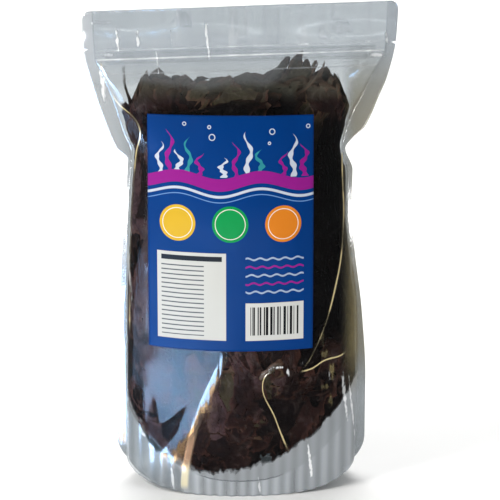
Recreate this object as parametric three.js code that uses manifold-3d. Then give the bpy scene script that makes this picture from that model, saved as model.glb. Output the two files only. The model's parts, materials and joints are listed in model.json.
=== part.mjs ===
// A clear stand-up pouch of dried whole-leaf dulse seaweed. Millimetres, +Z up.
// The pouch stands on its bottom gusset, its front panel faces -Y, and the origin is the middle of its foot.
import * as THREE from "three";
import { mergeVertices } from "three/addons/utils/BufferGeometryUtils.js";
import Module from "manifold-3d";

const wasm = await Module();
wasm.setup();

// Driving dimensions of the pouch.
const FLAT_WIDTH = 228.6;
const HEIGHT = 357;
const FILM = 0.5;
const FILM_GAP = 0.4;
const CORNER_RADIUS_TOP = 6;
const CORNER_RADIUS_FOOT = 13;
const CORNER_LIFT = 19;
const TOP_SLANT = 4;
const FOOT_SEAL = 12;
const GUSSET_FILM = 0.4;
const GUSSET_FOLD = 58;
const GUSSET_FLAT = 36;
const ZIP_HEIGHT = 322;
const ZIP_LENGTH = 196;
const NOTCH_HEIGHT = 328.5;
const NOTCH_DEPTH = 3;
const LABEL_FILM = 0.35;
const LABEL_GAP = 0.3;
const LABEL_WIDTH = 120;
const LABEL_LEFT = -66;
const LABEL_FOOT = 112;
const LABEL_HEAD = 283;

// Driving dimensions of the dulse.
const BLADE = 0.7;
const FIRST_LAYER = 1.2;
const LAYER_PITCH = 1.75;
const HEART_DEPTH = 9.1;
const HEART_SHOULDER = 278;
const HEART_TOP = 297;
const BLADE_CEILING = 275;

// Each profile is a list of [height, value]. These are the half widths to the pouch's edges and to the inner edges of
// its side seals.
const EDGE_LEFT = [[0, 94], [30, 94.5], [45, 92], [107, 91], [185, 87], [236, 83], [246, 82.5], [254, 91], [268, 97],
  [303, 108], [330, 113.6], [357, 114.3]];
const EDGE_RIGHT = [[0, 95], [67, 95], [125, 91.5], [173, 85.5], [203, 82.5], [236, 83], [252, 77.5], [260, 83],
  [268, 91.5], [289, 101], [305, 107.5], [330, 113], [357, 114.3]];
const SEAL_LEFT = [[0, 86.5], [107, 84.5], [185, 80.5], [236, 75], [254, 71], [271, 73], [290, 83], [310, 97],
  [322, 105], [357, 106.5]];
const SEAL_RIGHT = [[0, 87.5], [67, 88], [125, 85], [173, 79], [203, 76], [236, 74.5], [254, 70.5], [277, 78],
  [290, 86], [310, 97], [322, 105], [357, 106.5]];

// The bulge of each panel, and how pointed its plan is at the sides: 1 makes it an ellipse, and 2 a lens.
const BULGE = [[0, 45], [60, 47.5], [140, 48], [200, 45.5], [250, 38], [280, 28], [300, 17], [315, 6], [321, 3],
  [332, 2.6], [346, 0], [357, 0]];
const POINTEDNESS = [[0, 1.05], [200, 1.15], [250, 1.35], [285, 1.25], [310, 0.8], [320, 0.25], [357, 0.25]];

// Half widths of the packed dulse, which stays slim where the side seals flare out above the pouch's neck.
const FILL_LEFT = [[0, 85], [107, 83], [185, 79], [225, 74], [254, 69], [357, 69]];
const FILL_RIGHT = [[0, 86], [67, 86.5], [125, 83.5], [173, 77.5], [203, 74.5], [225, 72.5], [254, 68.5], [357, 68.5]];

const lerp = (a, b, t) => a + (b - a) * t;
const clamp = (x, low, high) => Math.min(high, Math.max(low, x));
const steps = (count, from, to) => Array.from({ length: count + 1 }, (_, i) => lerp(from, to, i / count));

function smooth(from, to, x) {
  const t = clamp((x - from) / (to - from), 0, 1);
  return t * t * (3 - 2 * t);
}

// Eases x so that it never passes a limit on either side of zero.
const within = (limit, x) => x / Math.pow(1 + Math.pow(Math.abs(x) / limit, 8), 1 / 8);

// Eases x so that it never comes down to a limit.
const above = (limit, x) => limit + 6 * Math.log(1 + Math.exp((x - limit) / 6));

// A smooth curve through a profile's points that doesn't overshoot them.
function along(profile, at) {
  const last = profile.length - 1;
  const x = clamp(at, profile[0][0], profile[last][0]);
  let i = 0;
  while (i < last - 1 && x > profile[i + 1][0]) i++;
  const step = (k) => (profile[k + 1][1] - profile[k][1]) / (profile[k + 1][0] - profile[k][0]);
  const slope = (k) => {
    if (k === 0) return step(0);
    if (k === last) return step(last - 1);
    const [before, after] = [step(k - 1), step(k)];
    return before * after <= 0 ? 0 : (2 * before * after) / (before + after);
  };
  const [low, high] = [profile[i], profile[i + 1]];
  const width = high[0] - low[0];
  const t = (x - low[0]) / width;
  const bend = t * t * (3 - 2 * t);
  const start = slope(i) * width * t * (1 - t) * (1 - t);
  const end = slope(i + 1) * width * t * t * (1 - t);
  return lerp(low[1], high[1], bend) + start - end;
}

// A closed body from two faces, each a grid of points in the same order, joined round the rim.
function shell(outer, inner) {
  const rows = outer.length;
  const columns = outer[0].length;
  const faces = [];
  const at = (r, c, face) => (face * rows + r) * columns + c;
  const quad = (a, b, c, d) => faces.push(a, b, c, a, c, d);
  for (let r = 0; r < rows - 1; r++)
    for (let c = 0; c < columns - 1; c++) {
      quad(at(r, c, 0), at(r, c + 1, 0), at(r + 1, c + 1, 0), at(r + 1, c, 0));
      faces.push(at(r, c, 1), at(r + 1, c + 1, 1), at(r, c + 1, 1), at(r, c, 1), at(r + 1, c, 1), at(r + 1, c + 1, 1));
    }
  for (let c = 0; c < columns - 1; c++) {
    quad(at(0, c, 0), at(0, c, 1), at(0, c + 1, 1), at(0, c + 1, 0));
    quad(at(rows - 1, c, 0), at(rows - 1, c + 1, 0), at(rows - 1, c + 1, 1), at(rows - 1, c, 1));
  }
  for (let r = 0; r < rows - 1; r++) {
    quad(at(r, 0, 0), at(r + 1, 0, 0), at(r + 1, 0, 1), at(r, 0, 1));
    quad(at(r, columns - 1, 0), at(r, columns - 1, 1), at(r + 1, columns - 1, 1), at(r + 1, columns - 1, 0));
  }
  return facingOut([...outer.flat(), ...inner.flat()], faces);
}

// A closed geometry from points and faces, its faces turned round if they all point in.
function facingOut(points, faces) {
  let volume = 0;
  for (let i = 0; i < faces.length; i += 3)
    volume += points[faces[i]].dot(points[faces[i + 1]].clone().cross(points[faces[i + 2]]));
  const geometry = new THREE.BufferGeometry().setFromPoints(points);
  geometry.setIndex(volume < 0 ? faces.toReversed() : faces);
  return geometry;
}

// The unit normal at each point of a grid.
function normals(grid) {
  return grid.map((row, r) =>
    row.map((_, c) => {
      const across = grid[r][Math.min(c + 1, row.length - 1)].clone().sub(grid[r][Math.max(c - 1, 0)]);
      const up = grid[Math.min(r + 1, grid.length - 1)][c].clone().sub(grid[Math.max(r - 1, 0)][c]);
      return across.cross(up).normalize();
    }),
  );
}

const shifted = (grid, normal, by) =>
  grid.map((row, r) => row.map((point, c) => point.clone().addScaledVector(normal[r][c], by)));

// A geometry as a solid that can be joined and cut, and back.
function solid(geometry) {
  const bare = new THREE.BufferGeometry();
  bare.setAttribute("position", geometry.attributes.position);
  bare.setIndex(geometry.index);
  const merged = mergeVertices(bare, 1e-4);
  const triVerts = new Uint32Array(merged.index.array);
  return new wasm.Manifold(
    new wasm.Mesh({ numProp: 3, vertProperties: merged.attributes.position.array, triVerts }),
  );
}

function geometryOf(manifold) {
  const mesh = manifold.getMesh();
  const geometry = new THREE.BufferGeometry();
  geometry.setAttribute("position", new THREE.BufferAttribute(new Float32Array(mesh.vertProperties), 3));
  geometry.setIndex(new THREE.BufferAttribute(new Uint32Array(mesh.triVerts), 1));
  return geometry;
}

// The film panels. How far a panel's foot and top edge stray from level, at a share of the half width and height.
function rise(share, level) {
  const foot = CORNER_LIFT * Math.pow(Math.abs(share), 4) * Math.pow(1 - level, 3);
  return foot + TOP_SLANT * share * Math.pow(level, 4);
}

// How far a rounded corner cuts in from the straight edge, at a distance from the side.
function cornerCut(inset, radius) {
  const left = Math.max(radius - inset, 0);
  return radius - Math.sqrt(radius * radius - left * left);
}

// Half the room between the panels, at a share of the way from the middle to the side seal.
function room(share, z) {
  return along(BULGE, z) * Math.pow(Math.sqrt(Math.max(1 - share * share, 0)), along(POINTEDNESS, z));
}

// A point on a panel's outer face. across runs from -1 to 1 over the bulge and on to -2 and 2 over the side seals,
// level from 0 at the foot to 1 at the top edge. side is -1 for the front panel and 1 for the back one.
function panelPoint(across, level, side) {
  const z = level * HEIGHT;
  const left = across < 0;
  const edge = along(left ? EDGE_LEFT : EDGE_RIGHT, z);
  const seal = along(left ? SEAL_LEFT : SEAL_RIGHT, z);
  const far = Math.abs(across);
  const share = Math.sin((Math.min(far, 1) * Math.PI) / 2);
  const x = far <= 1 ? seal * share : lerp(seal, edge, far - 1);
  const y = FILM_GAP / 2 + FILM + (far < 1 ? room(share, z) : 0);
  const hand = left ? -1 : 1;
  const top = cornerCut(edge - x, CORNER_RADIUS_TOP) * smooth(0.9, 1, level);
  const foot = cornerCut(edge - x, CORNER_RADIUS_FOOT) * (1 - smooth(0, 0.12, level));
  return new THREE.Vector3(hand * x, side * y, z + rise((hand * x) / edge, level) - top + foot);
}

const BULGE_COLUMNS = steps(14, -1, 1);
const SEAL_COLUMNS = [1.3, 1.66, 1.88, 2];
const COLUMNS = [...SEAL_COLUMNS.map((c) => -c).reverse(), ...BULGE_COLUMNS, ...SEAL_COLUMNS];
const LEVELS = [0, 0.02, 0.05, 0.1, 0.17, 0.26, 0.36, 0.46, 0.56, 0.65, 0.69, 0.72, 0.755, 0.8, 0.84, 0.87, 0.9,
  0.93, 0.97, 0.985, 1];

const panelGrid = (side) => LEVELS.map((level) => COLUMNS.map((across) => panelPoint(across, level, side)));

function filmPanel(side) {
  const outer = panelGrid(side);
  const film = solid(shell(outer, shifted(outer, normals(outer), side * FILM)));
  return geometryOf(film.subtract(tearNotch(EDGE_LEFT, -1)).subtract(tearNotch(EDGE_RIGHT, 1)));
}

// A small wedge that cuts the tear notch into a side seal.
function tearNotch(profile, hand) {
  const edge = along(profile, NOTCH_HEIGHT);
  const outline = new THREE.Shape([
    new THREE.Vector2(edge + 1, -1.2),
    new THREE.Vector2(edge + 1, 1.2),
    new THREE.Vector2(edge - NOTCH_DEPTH, 0),
  ]);
  const wedge = new THREE.ExtrudeGeometry(outline, { depth: 10, bevelEnabled: false, steps: 1 });
  wedge.translate(0, 0, -5);
  wedge.rotateX(Math.PI / 2);
  if (hand < 0) wedge.rotateZ(Math.PI);
  wedge.translate(0, 0, NOTCH_HEIGHT);
  return solid(wedge);
}

// The label: a rectangle of printed film that lies on the front panel.
function label() {
  const face = panelGrid(-1);
  const outward = normals(face);
  const sheet = solid(shell(shifted(face, outward, LABEL_GAP + LABEL_FILM), shifted(face, outward, LABEL_GAP)));
  const cutter = wasm.Manifold.cube([LABEL_WIDTH, 60, LABEL_HEAD - LABEL_FOOT]);
  return geometryOf(sheet.intersect(cutter.translate([LABEL_LEFT, -60, LABEL_FOOT])));
}

// The bottom gusset: a film web sealed to both panels along the foot and folded up between them at the sides. These
// are the height of its seal's top edge and of its fold line, along the pouch.
const gussetShare = (x) => clamp((Math.abs(x) - GUSSET_FLAT) / (85 - GUSSET_FLAT), 0, 1);
const gussetSealTop = (x) => FOOT_SEAL + (GUSSET_FOLD - FOOT_SEAL) * Math.pow(clamp(Math.abs(x) / 85, 0, 1), 2.4);
const gussetCrease = (x) => (GUSSET_FOLD - 9) * Math.pow(gussetShare(x), 1.5);

// The web's height between its crease, at share 0, and the panel that it is sealed to, at share 1.
function gussetHeight(x, share) {
  return lerp(gussetCrease(x), gussetSealTop(x), Math.pow(smooth(0.35, 1, share), 1.3));
}

function bottomGusset() {
  const half = (across) => {
    const share = Math.sin((across * Math.PI) / 2);
    const inset = 0.75 + 0.8 * share * share;
    const x = (z) => share * (along(across < 0 ? SEAL_LEFT : SEAL_RIGHT, z) - inset);
    const y = (z) => room(share, z) - inset * Math.sqrt(1 - share * share);
    const hem = rise(share * 0.93, 0) + 0.8;
    const top = gussetSealTop(x(30));
    const flange = [hem, (hem + top) / 2].map((z) => new THREE.Vector3(x(z), -y(z), z));
    const web = [1, 0.9, 0.75, 0.58, 0.35, 0].map(
      (t) => new THREE.Vector3(x(top), -y(top) * t, gussetHeight(x(top), t) + GUSSET_FILM),
    );
    return [...flange, ...web];
  };
  const upper = BULGE_COLUMNS.slice(1, -1).map((across) => {
    const front = half(across);
    const back = front.slice(0, -1).map((p) => new THREE.Vector3(p.x, -p.y, p.z));
    return [...front, ...back.reverse()];
  });
  const lower = shifted(upper, normals(upper), GUSSET_FILM);
  for (const point of lower.flat()) if (point.z < GUSSET_FILM / 2) point.z = 0;
  return shell(upper, lower);
}

// The zip: a ribbed track on each panel. The front one's bead snaps between the back one's jaws.
const FRONT_TRACK = [[-1.9, -5], [-1.4, -5], [-1.4, -3.8], [-1, -3.4], [-1.4, -3], [-1.4, -0.45], [-0.1, -0.45],
  [-0.1, -0.85], [0.6, -0.3], [0.6, 0.3], [-0.1, 0.85], [-0.1, 0.45], [-1.4, 0.45], [-1.4, 3], [-1, 3.4],
  [-1.4, 3.8], [-1.4, 5], [-1.9, 5]];
const BACK_TRACK = [[1.9, 5], [1.4, 5], [1.4, 1.9], [-0.6, 1.9], [-0.6, 0.95], [-0.4, 0.95], [-0.4, 1.25],
  [1.4, 1.25], [1.4, -1.25], [-0.4, -1.25], [-0.4, -0.95], [-0.6, -0.95], [-0.6, -1.9], [1.4, -1.9], [1.4, -5],
  [1.9, -5]];

function zipTrack(profile) {
  const shape = new THREE.Shape(profile.map(([y, z]) => new THREE.Vector2(y, z)));
  const track = new THREE.ExtrudeGeometry(shape, { depth: ZIP_LENGTH, bevelEnabled: false, steps: 1 });
  track.translate(0, 0, -ZIP_LENGTH / 2);
  track.applyMatrix4(new THREE.Matrix4().set(0, 0, 1, 0, 1, 0, 0, 0, 0, 1, 0, 0, 0, 0, 0, 1));
  return track;
}

// The dulse. Random draws are the same each time.
function drawsFrom(seed) {
  let state = seed;
  return () => {
    state = (state * 1664525 + 1013904223) % 4294967296;
    return state / 4294967296;
  };
}

// Low folds that every layer shares, so that no layer meets the next.
const fold = (turn, z) => 1 + 0.55 * Math.sin(turn * 12 * Math.PI + z * 0.035) +
  0.45 * Math.sin(turn * 8 * Math.PI - z * 0.06 + 1.7);

// A point inside the pouch. turn goes once round it from the middle of the front panel.
function insidePoint(turn, z, depth) {
  const angle = turn * 2 * Math.PI;
  const [s, c] = [Math.sin(angle), Math.cos(angle)];
  const half = along(s < 0 ? FILL_LEFT : FILL_RIGHT, z) - depth;
  const bulge = (along(BULGE, z) - depth) * Math.pow(Math.abs(c), along(POINTEDNESS, z));
  return new THREE.Vector3(half * s, -Math.sign(c) * bulge, z);
}

// A dulse blade laid flat: narrow at its holdfast and fanned out to lobes with ragged ends.
function bladeOutline(columns, rows, length, width, lobes, draw) {
  const phase = draw() * Math.PI;
  const ragged = steps(columns, 0, 1).map(() => 0.84 + 0.2 * draw());
  return steps(rows, 0, 1).map((reach) =>
    steps(columns, -1, 1).map((across, c) => {
      const lobe = 0.84 + 0.16 * Math.cos(across * lobes * Math.PI + phase);
      const spread = lerp(0.3, 1, Math.pow(Math.sin((Math.min(reach * 1.25, 1) * Math.PI) / 2), 0.8));
      const edge = Math.abs(across) === 1 ? 0.9 + 0.2 * draw() : 1;
      const tip = lerp(1, lobe * ragged[c], reach * reach);
      return [(across * spread * edge * width) / 2, (reach * tip - 0.5) * length];
    }),
  );
}

// A blade laid against the film, at a turn and height, leaning by tilt, with a number of layers over it.
function layeredBlade({ turn, height, tilt, layer, length, width, lobes, seed }) {
  const flat = bladeOutline(8, 6, length, width, lobes, drawsFrom(seed));
  const [cos, sin] = [Math.cos(tilt), Math.sin(tilt)];
  const face = (depth) =>
    flat.map((row) =>
      row.map(([p, q]) => {
        const at = turn + (p * cos - q * sin) / 420;
        const floor = gussetSealTop(84 * Math.sin(at * 2 * Math.PI)) + 5;
        const z = BLADE_CEILING - above(0, BLADE_CEILING - above(floor, height + p * sin + q * cos));
        return insidePoint(at, z, depth + fold(at, z));
      }),
    );
  const depth = FIRST_LAYER + layer * LAYER_PITCH;
  return shell(face(depth), face(depth + BLADE));
}

// The packed heart: its foot follows the gusset, and its sides lie under the layered blades.
function heartBody() {
  const turns = 36;
  const foot = (share) => (turn) => {
    const edge = insidePoint(turn, 62, HEART_DEPTH);
    const z = gussetHeight(edge.x * share, clamp(Math.abs(edge.y * share) / 44, 0, 1)) + 5;
    return new THREE.Vector3(edge.x * share, edge.y * share, z);
  };
  const side = (t) => (turn) => {
    const z = lerp(foot(0.95)(turn).z + 12, HEART_SHOULDER, t);
    return insidePoint(turn, z, HEART_DEPTH + fold(turn, z));
  };
  const crown = (share, z) => (turn) => {
    const edge = insidePoint(turn, HEART_SHOULDER, HEART_DEPTH + 1);
    return new THREE.Vector3(edge.x * share, edge.y * share * 0.9, z + 2 * fold(turn * 2, z));
  };
  const rings = [foot(0.3), foot(0.6), foot(0.82), ...steps(8, 0, 1).map(side), crown(0.8, 285), crown(0.45, 290)];
  const points = [new THREE.Vector3(0, 0, foot(0)(0).z)];
  for (const ring of rings) points.push(...steps(turns - 1, 0, 1 - 1 / turns).map(ring));
  points.push(new THREE.Vector3(0, 0, HEART_TOP));
  const faces = [];
  const at = (r, t) => 1 + r * turns + (t % turns);
  for (let t = 0; t < turns; t++) {
    faces.push(0, at(0, t + 1), at(0, t));
    faces.push(points.length - 1, at(rings.length - 1, t), at(rings.length - 1, t + 1));
    for (let r = 0; r < rings.length - 1; r++)
      faces.push(at(r, t), at(r, t + 1), at(r + 1, t + 1), at(r, t), at(r + 1, t + 1), at(r + 1, t));
  }
  return facingOut(points, faces);
}

// A blade that stands up out of the heart. root is where it starts along the pouch, offset how far back it stands.
const STANDING_ROOT = 266;

function standingBlade({ root, top, width, lean, offset }, seed) {
  const draw = drawsFrom(seed);
  const length = top - STANDING_ROOT;
  const flat = bladeOutline(5, 5, length, width, 1.5 + draw(), draw);
  const wave = draw() * 6;
  const face = (thickness) =>
    flat.map((row) =>
      row.map(([p, q]) => {
        const run = q + length / 2;
        const z = STANDING_ROOT + run;
        const open = smooth(278, 296, z);
        const x = root + p + lean * run;
        const seal = along(x < 0 ? SEAL_LEFT : SEAL_RIGHT, z);
        const fill = along(x < 0 ? FILL_LEFT : FILL_RIGHT, z);
        const kept = within(lerp(fill - HEART_DEPTH - 4, seal - 5, open), x);
        const deep = Math.max(room(kept / lerp(fill, seal, open), z + 2) - lerp(HEART_DEPTH + 3, 2.2, open), 0.6);
        return new THREE.Vector3(kept, within(deep, offset + 2 * Math.sin(x * 0.16 + wave)) + thickness, z);
      }),
    );
  return shell(face(-BLADE / 2), face(BLADE / 2));
}

const STANDING = [
  { root: -50, top: 304, width: 20, lean: -0.95, offset: 0 },
  { root: -48, top: 308, width: 26, lean: -0.45, offset: -4 },
  { root: -44, top: 304, width: 30, lean: -0.2, offset: 6 },
  { root: -36, top: 309, width: 30, lean: -0.2, offset: -6 },
  { root: -26, top: 303, width: 34, lean: 0, offset: 5 },
  { root: -12, top: 309, width: 34, lean: -0.1, offset: -5 },
  { root: 2, top: 305, width: 30, lean: 0.1, offset: 7 },
  { root: 14, top: 307, width: 32, lean: 0.1, offset: -6 },
  { root: 30, top: 310, width: 30, lean: 0.3, offset: 3 },
  { root: 38, top: 312, width: 22, lean: 0.45, offset: -3 },
  { root: 46, top: 306, width: 30, lean: 0.35, offset: -6 },
  { root: 50, top: 303, width: 24, lean: 0.7, offset: 3 },
];

function packedHeart() {
  const blades = STANDING.map((blade, i) => solid(standingBlade(blade, 40 + i)));
  return geometryOf(wasm.Manifold.union([solid(heartBody()), ...blades]));
}

// Materials.
const film = new THREE.MeshStandardMaterial({
  color: 0xdfe3e6,
  roughness: 0.12,
  metalness: 0,
  transparent: true,
  opacity: 0.3,
});
const zipPlastic = new THREE.MeshStandardMaterial({ color: 0xd5dade, roughness: 0.25, metalness: 0 });
const labelPrint = new THREE.MeshStandardMaterial({ color: 0x0c3f86, roughness: 0.35, metalness: 0 });
const dulseDark = new THREE.MeshStandardMaterial({ color: 0x2c1d1e, roughness: 0.6, metalness: 0 });
const dulseRed = new THREE.MeshStandardMaterial({ color: 0x4a2429, roughness: 0.6, metalness: 0 });

const pouch = new THREE.Group();

function piece(name, geometry, material) {
  const mesh = new THREE.Mesh(geometry, material);
  mesh.name = name;
  pouch.add(mesh);
  return mesh;
}

piece("film_front", filmPanel(-1), film);
piece("film_back", filmPanel(1), film);
piece("bottom_gusset", bottomGusset(), film);
piece("label", label(), labelPrint);
piece("dulse_heart", packedHeart(), dulseDark);

// The zip follows the slant of the top edge.
const tracks = [
  piece("zip_track_front", zipTrack(FRONT_TRACK), zipPlastic),
  piece("zip_track_back", zipTrack(BACK_TRACK), zipPlastic),
];
for (const track of tracks) {
  track.rotation.y = -Math.atan(rise(1, ZIP_HEIGHT / HEIGHT) / (FLAT_WIDTH / 2));
  track.position.z = ZIP_HEIGHT;
}

// The layered blades stand in three rings of eight. A blade's ring and its place there pick its layer, so that blades
// that overlap are never on one layer.
const RINGS = [
  { height: 74, length: 112, width: 84 },
  { height: 150, length: 116, width: 88 },
  { height: 224, length: 108, width: 84 },
];
const BLADES_ROUND = 8;
RINGS.forEach(({ height, length, width }, r) => {
  for (let i = 0; i < BLADES_ROUND; i++) {
    const seed = 500 + 31 * r + 7 * i;
    const draw = drawsFrom(seed + 977);
    draw();
    const turn = (i + 0.5 * (r % 2)) / BLADES_ROUND + 0.02 * (draw() - 0.5);
    const tilt = ((r + i) % 3 === 0 ? Math.PI : 0) + 0.5 * (draw() - 0.5);
    const lobes = 1.6 + 1.2 * draw();
    const layer = 2 * (r % 2) + (i % 2);
    const geometry = layeredBlade({ turn, height, tilt, layer, length, width, lobes, seed });
    piece(`dulse_blade_${r + 1}_${i + 1}`, geometry, (r + i) % 4 === 1 ? dulseRed : dulseDark);
  }
});

export default pouch;
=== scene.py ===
# %% [markdown]
# # A clear stand-up pouch of dried dulse
# The pouch is two panels of clear film, sealed down both sides and along the top, with a web of film folded
# up between them at the foot. It has a press-to-close zip and a printed label, and it is packed with blades
# of dulse, a red seaweed that dries to thin, dark leather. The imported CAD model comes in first, because it
# fixes every size and place; each cell then adds one piece or one finish.

# %% Load the frame
import json
import math
import random
import bpy
import numpy as np
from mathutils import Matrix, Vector, noise

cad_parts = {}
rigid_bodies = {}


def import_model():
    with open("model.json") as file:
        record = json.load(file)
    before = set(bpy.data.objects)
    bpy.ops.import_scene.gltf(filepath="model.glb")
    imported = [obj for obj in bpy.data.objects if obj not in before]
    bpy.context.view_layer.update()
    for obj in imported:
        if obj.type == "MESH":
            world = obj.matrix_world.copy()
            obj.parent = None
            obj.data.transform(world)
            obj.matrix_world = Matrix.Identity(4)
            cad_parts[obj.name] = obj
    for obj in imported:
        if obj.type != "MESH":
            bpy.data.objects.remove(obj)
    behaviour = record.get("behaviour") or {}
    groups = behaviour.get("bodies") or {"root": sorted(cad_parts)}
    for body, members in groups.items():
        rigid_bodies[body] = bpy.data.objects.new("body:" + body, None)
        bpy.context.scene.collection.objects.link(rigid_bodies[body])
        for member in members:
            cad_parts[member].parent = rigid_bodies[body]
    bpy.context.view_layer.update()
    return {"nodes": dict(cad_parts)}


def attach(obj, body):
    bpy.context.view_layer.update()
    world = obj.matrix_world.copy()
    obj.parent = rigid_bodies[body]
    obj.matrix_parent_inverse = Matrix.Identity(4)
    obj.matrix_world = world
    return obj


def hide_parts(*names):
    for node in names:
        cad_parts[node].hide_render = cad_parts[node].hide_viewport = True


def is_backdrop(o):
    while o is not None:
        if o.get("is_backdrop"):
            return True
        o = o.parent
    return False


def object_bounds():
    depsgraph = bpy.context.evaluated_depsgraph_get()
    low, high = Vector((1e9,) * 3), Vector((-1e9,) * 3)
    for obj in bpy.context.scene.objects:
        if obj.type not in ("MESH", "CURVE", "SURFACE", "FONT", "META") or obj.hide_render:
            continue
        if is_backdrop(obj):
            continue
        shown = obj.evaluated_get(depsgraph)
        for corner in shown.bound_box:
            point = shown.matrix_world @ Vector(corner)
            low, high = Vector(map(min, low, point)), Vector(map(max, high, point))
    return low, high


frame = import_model()

# %% [markdown]
# ## Camera
# The photograph looks at the front panel from a little above. A long lens from 1.2 m keeps the sides of the
# pouch nearly parallel, as they are in it.

# %% Camera
ELEVATION = math.radians(12)
DISTANCE = 1.2
TARGET = Vector((0.0, 0.0, 0.1785))
camera_data = bpy.data.cameras.new("camera")
camera_data.lens = 116
camera_data.sensor_width = 36
camera_data.shift_x = 0.02
camera_data.shift_y = -0.0045
camera = bpy.data.objects.new("camera", camera_data)
bpy.context.scene.collection.objects.link(camera)
back = Vector((0, -math.cos(ELEVATION), math.sin(ELEVATION)))
camera.location = TARGET + back * DISTANCE
camera.rotation_euler = (-back).to_track_quat("-Z", "Y").to_euler()
bpy.context.scene.camera = camera
print("camera at", [round(v, 3) for v in camera.location])

# %% [markdown]
# ## The profiles that every piece shares
# The film, the label and the dulse follow the same few curves up the pouch: its width, where the side seals
# begin, and how far each panel bulges. They are short lists of height and value in millimetres. A monotone
# cubic joins them, because it never swings past its points.

# %% Profiles
EDGE = {-1: [(0, 94), (30, 94.5), (45, 92), (107, 91), (185, 87), (236, 83), (246, 82.5), (254, 91),
             (268, 97), (303, 108), (330, 113.6), (357, 114.3)],
        1: [(0, 95), (67, 95), (125, 91.5), (173, 85.5), (203, 82.5), (236, 83), (252, 77.5), (260, 83),
            (268, 91.5), (289, 101), (305, 107.5), (330, 113), (357, 114.3)]}
SEAL = {-1: [(0, 86.5), (107, 86.5), (185, 84), (236, 80.5), (252, 79.5), (262, 83), (271, 86.5), (290, 92),
             (310, 100), (322, 105), (357, 106.5)],
        1: [(0, 87.5), (67, 89), (125, 88), (173, 83), (203, 80), (236, 79.5), (252, 75), (264, 77),
            (277, 81), (290, 88), (310, 98), (322, 105), (357, 106.5)]}
BULGE = [(0, 45), (60, 47.5), (140, 48), (200, 45.5), (250, 38), (280, 28), (300, 17), (315, 6), (321, 3),
         (332, 2.6), (346, 0), (357, 0)]
POINTEDNESS = [(0, 1.05), (200, 1.15), (250, 1.35), (285, 1.25), (310, 0.8), (320, 0.25), (357, 0.25)]
HEIGHT = 357
HALF_TOP = 114
TOP_SLANT = 4
FOOT_SEAL = 12
FOOT_CURVE = 46
FOOT_REACH = 85
MM = 0.001


def along(profile, at):
    """The value of a profile at a height, on a monotone cubic through its points."""
    keys, values = np.array(profile, float).T
    x = np.clip(at, keys[0], keys[-1])
    width = np.diff(keys)
    step = np.diff(values) / width
    before, after = step[:-1], step[1:]
    both = np.where(before * after > 0, before + after, 1)
    inner = np.where(before * after > 0, 2 * before * after / both, 0)
    slope = np.concatenate([step[:1], inner, step[-1:]])
    i = np.clip(np.searchsorted(keys, x, side="right") - 1, 0, len(width) - 1)
    t = (x - keys[i]) / width[i]
    bend = t * t * (3 - 2 * t)
    curve = slope[i] * t * (1 - t) ** 2 - slope[i + 1] * t * t * (1 - t)
    return values[i] + (values[i + 1] - values[i]) * bend + curve * width[i]


def by_side(profiles, x, at):
    """The value of the left profile where x is below 0, and of the right one elsewhere."""
    return np.where(x < 0, along(profiles[-1], at), along(profiles[1], at))


def smooth(low, high, x):
    t = np.clip((x - low) / (high - low), 0, 1)
    return t * t * (3 - 2 * t)


def room(share, z):
    """How far a panel bulges at a height; share runs from -1 to 1 between the side seals."""
    return along(BULGE, z) * np.sqrt(np.clip(1 - share * share, 0, 1)) ** along(POINTEDNESS, z)


def seal_top(x):
    """How high the seal along the foot reaches: low in the middle, and high at the sides."""
    return FOOT_SEAL + FOOT_CURVE * np.clip(np.abs(x) / FOOT_REACH, 0, 1) ** 2.4


print("half room at mid height:", round(float(room(0, 140)), 1), "mm")

# %% [markdown]
# ## How the film creases
# Folds run down a filled pouch from the ends of its zip, the film sags between them, and the foot is
# fluted by the hot ribbed bar that sealed it. Reflections show these small moves, so they go into the
# shape too. The strongest folds are lines of height and place, and each lifts the film in a ridge.

# %% Folds of the film
CREASES = {"left_shoulder": [(120, -82), (200, -80), (250, -76), (271, -73), (291, -92), (316, -101)],
           "right_shoulder": [(96, 45), (105, 52), (160, 71), (200, 76), (250, 75), (270, 78), (314, 107)],
           "belly": [(36, 35), (60, 26), (90, 17), (97, 24)],
           "foot": [(4, -44), (25, -42), (60, -33), (112, -11)]}
RIDGES = {"left_shoulder": 0.6, "right_shoulder": 0.9, "belly": 1.1, "foot": 0.1}
SHELF = [(40, 95), (52, 96), (62, 101), (76, 103), (84, 108)]
FLUTE = 8.7


def waves(seed, x, z, lengths, count=5):
    """Slow, uneven waves: the mean of a few sines of random length, direction and start."""
    draw = random.Random(seed)
    total = 0
    for _ in range(count):
        length = draw.uniform(*lengths)
        turn = draw.uniform(0, math.pi)
        phase = draw.uniform(0, 2 * math.pi)
        total = total + np.sin((x * math.cos(turn) + z * math.sin(turn)) * 2 * math.pi / length + phase)
    return total / count


def flute(x):
    """The wave of the ribs that the hot bar pressed into the foot."""
    return np.sin(x * 2 * math.pi / FLUTE + 0.8 * np.sin(x / 19))


def ripple(x, z, side):
    """How far a panel stands out from its even shape, in millimetres."""
    free = 1 - smooth(0.93, 1, np.abs(x) / by_side(SEAL, x, z))
    body = smooth(310, 285, z)
    sag = 0.8 * waves(3 + side, x, z, (38, 80)) + 0.22 * waves(9 + side, x, z, (16, 30))
    hang = smooth(318, 300, z) * smooth(250, 285, z) * 0.9 * waves(17 + side, x, 0.12 * z, (14, 30))
    skirt = smooth(4, -4, z - seal_top(x))
    flutes = 0.55 * flute(x) * skirt
    ridges = 0
    if side < 0:
        for crease, line in CREASES.items():
            keys = [k for k, _ in line]
            ends = smooth(keys[0] - 6, keys[0] + 4, z) * smooth(keys[-1] + 6, keys[-1] - 4, z)
            ridges = ridges + RIDGES[crease] * ends * np.exp(-np.abs(x - along(line, z)) / 2.2)
    return free * (sag * body * (1 - 0.6 * skirt) + hang + flutes + ridges)


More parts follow.
